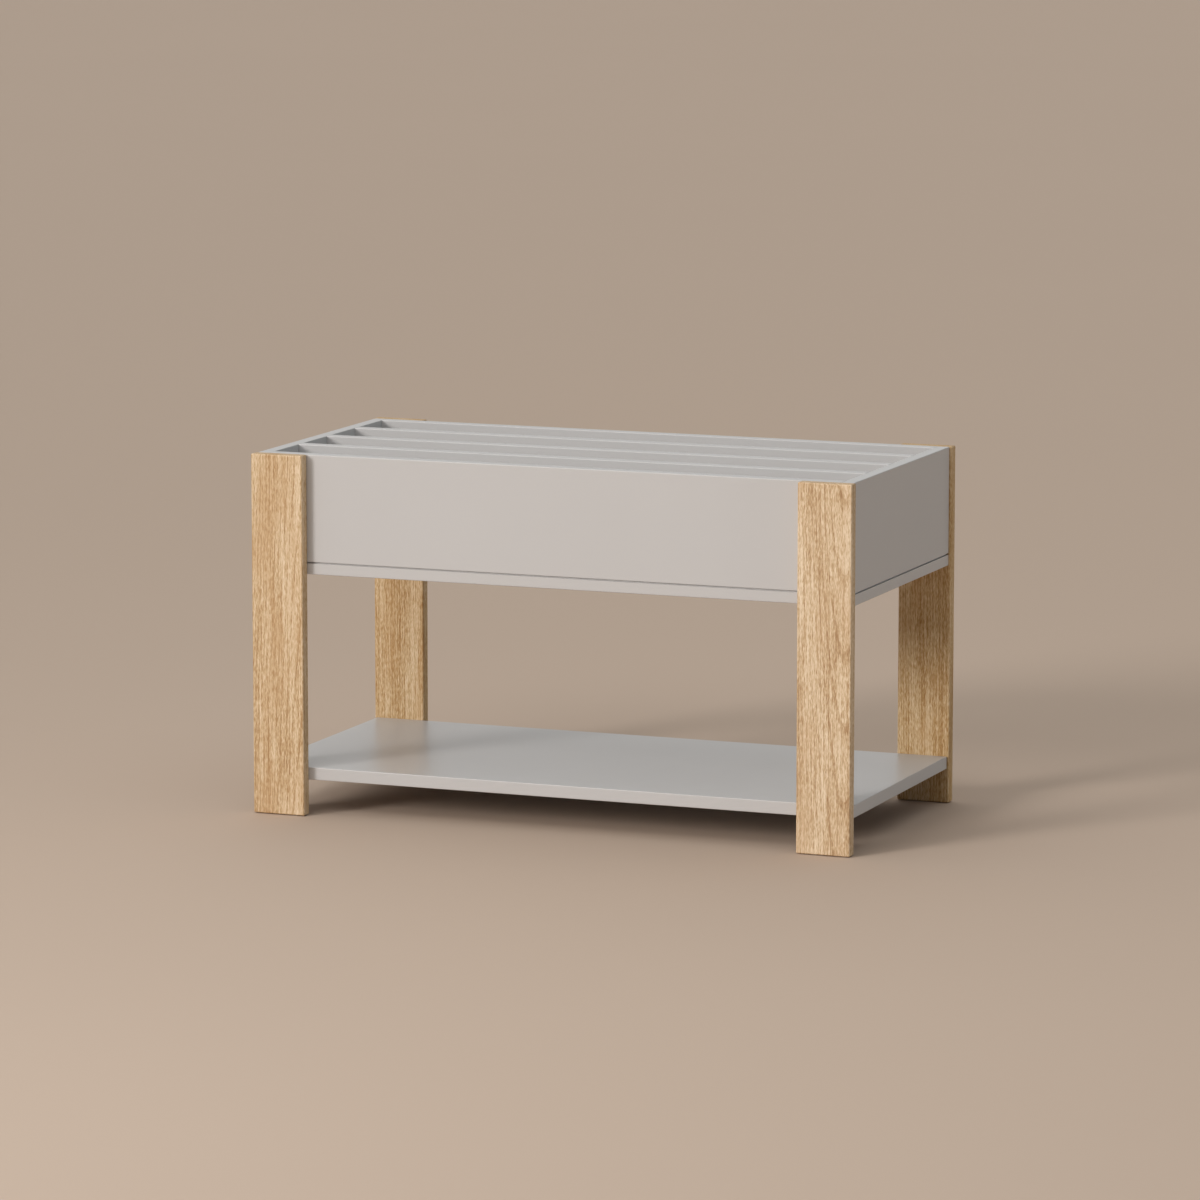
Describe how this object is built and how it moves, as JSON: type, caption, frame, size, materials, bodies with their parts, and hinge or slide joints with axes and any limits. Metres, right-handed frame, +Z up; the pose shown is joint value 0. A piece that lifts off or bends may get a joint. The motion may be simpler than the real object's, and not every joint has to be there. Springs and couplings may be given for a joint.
{
  "type": "entryway bench",
  "caption": "Low bench: four flat oak legs carry an open lacquered box with lengthways dividers, and a shelf sits near the floor.",
  "frame": {"origin": "on the floor, under the middle of the bench's overall length and depth", "axes": "+X along the bench to the right as seen from the front, -Y to the front, +Z up"},
  "size_m": [0.8, 0.4, 0.46],
  "materials": {
    "oak": "solid oak, clear matt oil, straight grain along the leg",
    "lacquered_board": "16 mm board, warm light grey satin lacquer",
    "beech": "fluted beech dowel",
    "zinc_plated_steel": "bright zinc plate",
    "zinc_casting": "as cast, dull",
    "brass": "machined",
    "cap_plastic": "moulded, fine matt, in the boards' grey",
    "glide_nylon": "moulded nylon, fine matt"
  },
  "bodies": {
    "root": {"leg_front_left": "oak", "leg_front_right": "oak", "leg_back_left": "oak", "leg_back_right": "oak", "front_panel": "lacquered_board", "back_panel": "lacquered_board", "left_panel": "lacquered_board", "right_panel": "lacquered_board", "divider_front": "lacquered_board", "divider_middle": "lacquered_board", "divider_back": "lacquered_board", "bottom_panel": "lacquered_board", "lower_shelf": "lacquered_board", "leg_bolts": "zinc_plated_steel", "leg_bolt_washers": "zinc_plated_steel", "leg_inserts": "brass", "corner_dowels": "beech", "corner_cam_bolts": "zinc_plated_steel", "corner_cams": "zinc_casting", "corner_cam_caps": "cap_plastic", "divider_dowels": "beech", "bottom_screws": "zinc_plated_steel", "shelf_dowels": "beech", "shelf_cam_bolts": "zinc_plated_steel", "shelf_cams": "zinc_casting", "shelf_cam_caps": "cap_plastic", "leg_glides": "glide_nylon"}
  },
  "joints": []
}
